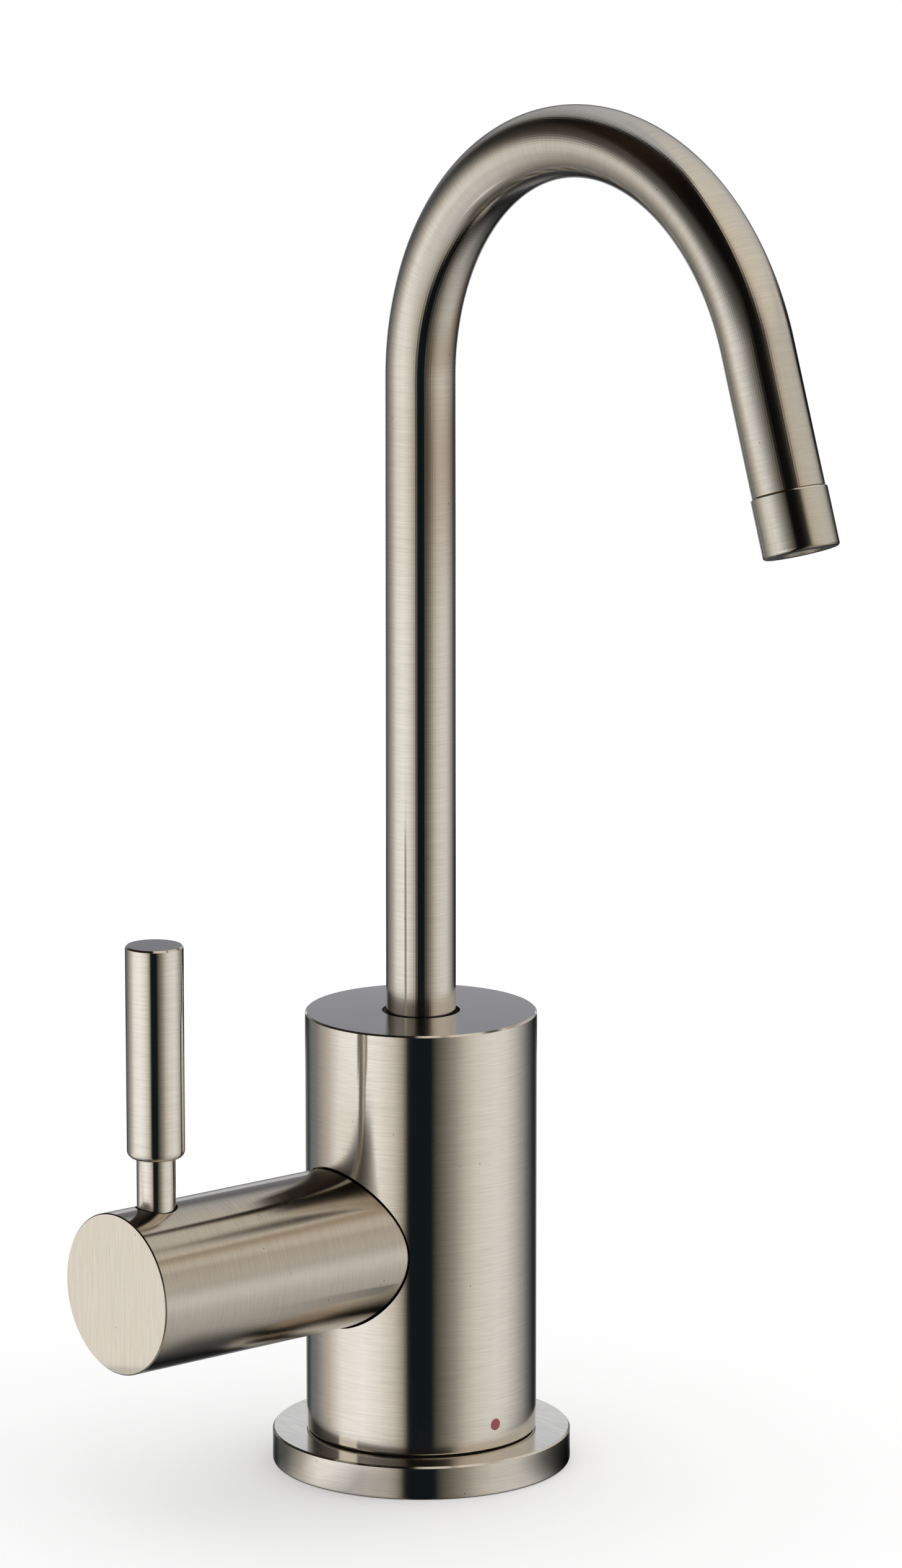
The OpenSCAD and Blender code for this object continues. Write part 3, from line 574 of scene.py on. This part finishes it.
finishes = {
    "brushed_nickel": brushedNickel("brushedNickelUpright", zAxis, xAxis),
    # brass turned on a lathe: a yellow metal with a soft shine
    "brass": plainMaterial("machinedBrass", "#D9B46A", 0.32, metallic=1.0),
    # nitrile rubber from a mould: a dull near black that reads as a dark seam
    "seal_rubber": plainMaterial("mouldedNitrileRubber", "#232325", 0.62, ior=1.52),
    # acetal turned from bar, off-white: a waxy surface with a weak broad shine
    "acetal": plainMaterial("turnedAcetal", "#E3E0D6", 0.42, ior=1.48),
    # the same in black: a dark ring with hardly a shine
    "black_acetal": plainMaterial("turnedBlackAcetal", "#121212", 0.5, ior=1.48),
    # alumina lapped flat: a hard white with a clear, even shine
    "ceramic": plainMaterial("lappedAlumina", "#F0EEE8", 0.2, ior=1.76),
    # stainless steel as drawn or turned: a cool grey metal, duller than the nickel
    "steel": plainMaterial("stainlessSteel", "#C2C4C6", 0.3, metallic=1.0),
    # baked enamel in a sunk mark: a muted red with a small clear shine
    "red_enamel": plainMaterial("mutedRedEnamel", "#97484A", 0.3, ior=1.52),
}
# the same nickel, a little darker where the photograph shows it so: on the hub, the outlet and the
# tube the darker walls are painted shade; the outlet's flat end looks down and is darkest, which
# is painted shade too
hubNickelPaintedShade = brushedNickel("brushedNickelHubPaintedShade", xAxis, yAxis, turn=(0, 90 * degree, 0),
                          faceLines="X", wallColourAndShade="#C9C1B5")
# painted shade: the outlet's darker wall and its much darker flat end
outletNickelPaintedShade = brushedNickel("brushedNickelOutletPaintedShade", endWay, xAxis, turn=(-bendAngle, 0, 0),
                             wallColourAndShade="#DCD7CC", faceColourAndShade="#8C867C")
# painted shade: the tube's darker wall
tubeNickelPaintedShade = brushedNickel("brushedNickelTubePaintedShade", zAxis, xAxis, alongTube=True,
                           wallColourAndShade="#DCD6CC")
# the hub and the outlet take their nickel with painted shade
paintedShadeMaterials = {"handle_hub": hubNickelPaintedShade, "aerator_housing": outletNickelPaintedShade}
slotOf = {part["node"]: part["material_slot"] for part in frame["record"]["subparts"]}
for name, node in nodes.items():
    for slot in node.material_slots:
        slot.material = paintedShadeMaterials.get(name, finishes[slotOf[name]])
print("finishes applied")


def newTree(name, inputs):
    # a Geometry Nodes tree with named inputs, each with its kind
    tree = bpy.data.node_groups.new(name, "GeometryNodeTree")
    for label, kind in inputs.items():
        tree.interface.new_socket(name=label, in_out="INPUT", socket_type="NodeSocket" + kind)
    tree.interface.new_socket(name="Geometry", in_out="OUTPUT", socket_type="NodeSocketGeometry")
    return tree, addNode(tree, "NodeGroupInput").outputs


def finishTree(tree, geometry, material):
    whole = addNode(tree, "GeometryNodeRealizeInstances", {0: geometry})
    painted = addNode(tree, "GeometryNodeSetMaterial", {"Geometry": whole, "Material": material})
    addNode(tree, "NodeGroupOutput", {0: painted})


def runTree(name, tree, values):
    # puts the tree on an empty mesh, sets its inputs and keeps the plain mesh that comes out
    carrier = addObject(name + "Maker", bpy.data.meshes.new(name + "Maker"))
    maker = carrier.modifiers.new("maker", "NODES")
    maker.node_group = tree
    for item in tree.interface.items_tree:
        if item.in_out == "INPUT" and item.name in values:
            maker[item.identifier] = values[item.name]
    evaluated = carrier.evaluated_get(bpy.context.evaluated_depsgraph_get())
    mesh = bpy.data.meshes.new_from_object(evaluated)
    mesh.name = name
    carrier.modifiers.remove(maker)
    bpy.data.objects.remove(carrier)
    return addObject(name, mesh)


def straightTube(tree, given):
    # an upright tube from an outer and an inner skin and two flat rims, welded, and its length
    riser = addNode(tree, "ShaderNodeMath", {0: given["Bend start"], 1: given["Start"]},
                    operation="SUBTRACT")
    bend = addNode(tree, "ShaderNodeMath", {0: given["Bend radius"], 1: given["Bend angle"]},
                   operation="MULTIPLY")
    bendEnd = addNode(tree, "ShaderNodeMath", {0: riser, 1: bend}, operation="ADD")
    length = addNode(tree, "ShaderNodeMath", {0: bendEnd, 1: given["Drop"]}, operation="ADD")
    inner = addNode(tree, "ShaderNodeMath", {0: given["Radius"], 1: given["Wall"]},
                    operation="SUBTRACT")
    outside, inside = (addNode(tree, "GeometryNodeMeshCylinder", {"Vertices": given["Sides"],
                       "Side Segments": given["Rings"], "Radius": radius, "Depth": length},
                       fill_type="NONE") for radius in (given["Radius"], inner))
    turnedInside = addNode(tree, "GeometryNodeFlipFaces", {0: inside})
    rim = addNode(tree, "GeometryNodeMeshCone", {"Vertices": given["Sides"], "Side Segments": 1,
                  "Radius Top": inner, "Radius Bottom": given["Radius"], "Depth": 0.0},
                  fill_type="NONE")
    turnedRim = addNode(tree, "GeometryNodeFlipFaces", {0: rim})
    half = addNode(tree, "ShaderNodeMath", {0: length, 1: 0.5}, operation="MULTIPLY")
    up = addNode(tree, "ShaderNodeCombineXYZ", {"Z": half})
    down = addNode(tree, "ShaderNodeVectorMath", {0: up, "Scale": -1.0}, operation="SCALE")
    topRim = addNode(tree, "GeometryNodeTransform", {"Geometry": rim, "Translation": up})
    lowRim = addNode(tree, "GeometryNodeTransform", {"Geometry": turnedRim, "Translation": down})
    walls = addNode(tree, "GeometryNodeJoinGeometry", {0: [outside, turnedInside]})
    rims = addNode(tree, "GeometryNodeJoinGeometry", {0: [topRim, lowRim]})
    flatRims = addNode(tree, "GeometryNodeSetShadeSmooth", {"Geometry": rims,
                       "Shade Smooth": False})
    skins = addNode(tree, "GeometryNodeJoinGeometry", {0: [walls, flatRims]})
    welded = addNode(tree, "GeometryNodeMergeByDistance", {"Geometry": skins,
                     "Distance": given["Weld"]})
    middle = addNode(tree, "ShaderNodeMath", {0: half, 1: given["Start"]}, operation="ADD")
    lift = addNode(tree, "ShaderNodeCombineXYZ", {"Z": middle})
    return addNode(tree, "GeometryNodeTransform", {"Geometry": welded, "Translation": lift})


def gooseneckTree(material):
    # the straight tube, bent in the plane of Y and Z; it keeps each point's place before the bend
    # and the direction of the tube there, for the brushing
    tree, given = newTree("gooseneckTube", {
        "Start": "Float", "Bend start": "Float", "Bend radius": "Float", "Bend angle": "Float",
        "Drop": "Float", "Radius": "Float", "Wall": "Float", "Sides": "Int", "Rings": "Int",
        "Weld": "Float"})
    tube = straightTube(tree, given)
    position = addNode(tree, "GeometryNodeInputPosition")
    kept = addNode(tree, "GeometryNodeStoreNamedAttribute", {"Geometry": tube,
                   "Name": "straightPlace", "Value": position},
                   data_type="FLOAT_VECTOR", domain="POINT")
    at = addNode(tree, "ShaderNodeSeparateXYZ", {0: position}).outputs
    # each ring goes round by its own angle, and past the bend it goes straight on by the rest
    run = addNode(tree, "ShaderNodeMath", {0: at["Z"], 1: given["Bend start"]},
                  operation="SUBTRACT")
    share = addNode(tree, "ShaderNodeMath", {0: run, 1: given["Bend radius"]}, operation="DIVIDE")
    past = addNode(tree, "ShaderNodeMath", {0: share, 1: 0.0}, operation="MAXIMUM")
    turn = addNode(tree, "ShaderNodeMath", {0: past, 1: given["Bend angle"]}, operation="MINIMUM")
    bent = addNode(tree, "ShaderNodeMath", {0: turn, 1: given["Bend radius"]},
                   operation="MULTIPLY")
    rest = addNode(tree, "ShaderNodeMath", {0: run, 1: bent}, operation="SUBTRACT")
    sine = addNode(tree, "ShaderNodeMath", {0: turn}, operation="SINE")
    cosine = addNode(tree, "ShaderNodeMath", {0: turn}, operation="COSINE")
    reach = addNode(tree, "ShaderNodeMath", {0: given["Bend radius"], 1: at["Y"]}, operation="ADD")
    reachBack = addNode(tree, "ShaderNodeMath", {0: reach, 1: cosine}, operation="MULTIPLY")
    onBend = addNode(tree, "ShaderNodeMath", {0: reachBack, 1: given["Bend radius"]},
                     operation="SUBTRACT")
    restOut = addNode(tree, "ShaderNodeMath", {0: rest, 1: sine}, operation="MULTIPLY")
    y = addNode(tree, "ShaderNodeMath", {0: onBend, 1: restOut}, operation="SUBTRACT")
    rise = addNode(tree, "ShaderNodeMath", {0: reach, 1: sine, 2: given["Bend start"]},
                   operation="MULTIPLY_ADD")
    restUp = addNode(tree, "ShaderNodeMath", {0: rest, 1: cosine}, operation="MULTIPLY")
    z = addNode(tree, "ShaderNodeMath", {0: rise, 1: restUp}, operation="ADD")
    flowOut = addNode(tree, "ShaderNodeMath", {0: sine, 1: -1.0}, operation="MULTIPLY")
    flow = addNode(tree, "ShaderNodeCombineXYZ", {"Y": flowOut, "Z": cosine})
    flowing = addNode(tree, "GeometryNodeStoreNamedAttribute", {"Geometry": kept, "Name": "flow",
                      "Value": flow}, data_type="FLOAT_VECTOR", domain="POINT")
    place = addNode(tree, "ShaderNodeCombineXYZ", {"X": at["X"], "Y": y, "Z": z})
    placed = addNode(tree, "GeometryNodeSetPosition", {"Geometry": flowing, "Position": place})
    finishTree(tree, placed, material)
    return tree


def buildGooseneck():
    size = gooseneck
    length = size["bendStart"] - size["start"] + bendAngle * size["bendRadius"] + size["drop"]
    tube = runTree("gooseneck_tube", gooseneckTree(tubeNickelPaintedShade), {
        "Start": size["start"] * mm, "Bend start": size["bendStart"] * mm,
        "Bend radius": size["bendRadius"] * mm, "Bend angle": bendAngle, "Drop": size["drop"] * mm,
        "Radius": size["radius"] * mm, "Wall": size["wall"] * mm, "Sides": size["sides"],
        "Rings": round(length / size["ringStep"]), "Weld": size["weld"] * mm})
    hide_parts("spout_tube")
    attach(tube, "spout")
    print("gooseneck", len(tube.data.vertices), "points")


buildGooseneck()

# Threads in the shank socket and in the three hose ports, in millimetres, seen only from below: a
# V-shaped ridge wound up the wall of each hole, which the model cuts at the thread's core.
threads = {
    "socket_thread": {"slot": "brushed_nickel", "core": 13.2, "pitch": 1.5,
                      "low": 1.3, "high": 13.0, "places": [(0, 0)]},
    "port_threads": {"slot": "brass", "core": 3.5, "pitch": 1.0,
                     "low": 14.7, "high": 20.9, "places": [(2, 5), (2, -5), (8.8, 0)]},
}
ridge = {
    "depthShare": 0.2,  # of the pitch, inward from the wall
    "footShare": 0.8,  # of the pitch, along the wall
    "sunk": 0.05,
    "sides": 48,
}


def threadTree(material, count):
    # a square bar wound up the wall; its inner edge is the crest, its outer edge is sunk in the
    # wall
    tree, given = newTree("woundThread", {
        "Turns": "Float", "Rings": "Int", "Core": "Float", "Pitch": "Float", "Low": "Float",
        "Depth": "Float", "Foot": "Float", "Sunk": "Float",
        **{f"Place {i}": "Vector" for i in range(count)}})
    bar = addNode(tree, "GeometryNodeMeshCylinder", {"Vertices": 4,
                  "Side Segments": given["Rings"], "Radius": 1.0, "Depth": 1.0}, fill_type="NGON")
    position = addNode(tree, "GeometryNodeInputPosition")
    at = addNode(tree, "ShaderNodeSeparateXYZ", {0: position}).outputs
    share = addNode(tree, "ShaderNodeMath", {0: at["Z"], 1: 0.5}, operation="ADD")
    turns = addNode(tree, "ShaderNodeMath", {0: share, 1: given["Turns"]}, operation="MULTIPLY")
    angle = addNode(tree, "ShaderNodeMath", {0: turns, 1: 2 * math.pi}, operation="MULTIPLY")
    crest = addNode(tree, "ShaderNodeMath", {0: at["X"], 1: given["Depth"]}, operation="MULTIPLY")
    back = addNode(tree, "ShaderNodeMath", {0: at["X"], 1: given["Sunk"]}, operation="MULTIPLY")
    inward = addNode(tree, "ShaderNodeMath", {0: crest, 1: back}, operation="MAXIMUM")
    radius = addNode(tree, "ShaderNodeMath", {0: given["Core"], 1: inward}, operation="SUBTRACT")
    halfFoot = addNode(tree, "ShaderNodeMath", {0: given["Foot"], 1: 0.5}, operation="MULTIPLY")
    flank = addNode(tree, "ShaderNodeMath", {0: at["Y"], 1: halfFoot, 2: given["Low"]},
                    operation="MULTIPLY_ADD")
    cosine = addNode(tree, "ShaderNodeMath", {0: angle}, operation="COSINE")
    sine = addNode(tree, "ShaderNodeMath", {0: angle}, operation="SINE")
    x = addNode(tree, "ShaderNodeMath", {0: radius, 1: cosine}, operation="MULTIPLY")
    y = addNode(tree, "ShaderNodeMath", {0: radius, 1: sine}, operation="MULTIPLY")
    z = addNode(tree, "ShaderNodeMath", {0: turns, 1: given["Pitch"], 2: flank},
                operation="MULTIPLY_ADD")
    place = addNode(tree, "ShaderNodeCombineXYZ", {"X": x, "Y": y, "Z": z})
    wound = addNode(tree, "GeometryNodeSetPosition", {"Geometry": bar, "Position": place})
    flat = addNode(tree, "GeometryNodeSetShadeSmooth", {"Geometry": wound, "Shade Smooth": False})
    copies = [addNode(tree, "GeometryNodeTransform", {"Geometry": flat,
              "Translation": given[f"Place {i}"]}) for i in range(count)]
    every = addNode(tree, "GeometryNodeJoinGeometry", {0: copies})
    finishTree(tree, every, material)
    return tree


def buildThreads():
    for name, size in threads.items():
        turns = (size["high"] - size["low"]) / size["pitch"]
        tree = threadTree(finishes[size["slot"]], len(size["places"]))
        thread = runTree(name, tree, {
            "Turns": turns, "Rings": round(turns * ridge["sides"]), "Core": size["core"] * mm,
            "Pitch": size["pitch"] * mm, "Low": size["low"] * mm,
            "Depth": ridge["depthShare"] * size["pitch"] * mm,
            "Foot": ridge["footShare"] * size["pitch"] * mm, "Sunk": ridge["sunk"] * mm,
            **{f"Place {i}": (x * mm, y * mm, 0) for i, (x, y) in enumerate(size["places"])}})
        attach(thread, "faucet_body")
        print(name, len(thread.data.vertices), "points")


buildThreads()
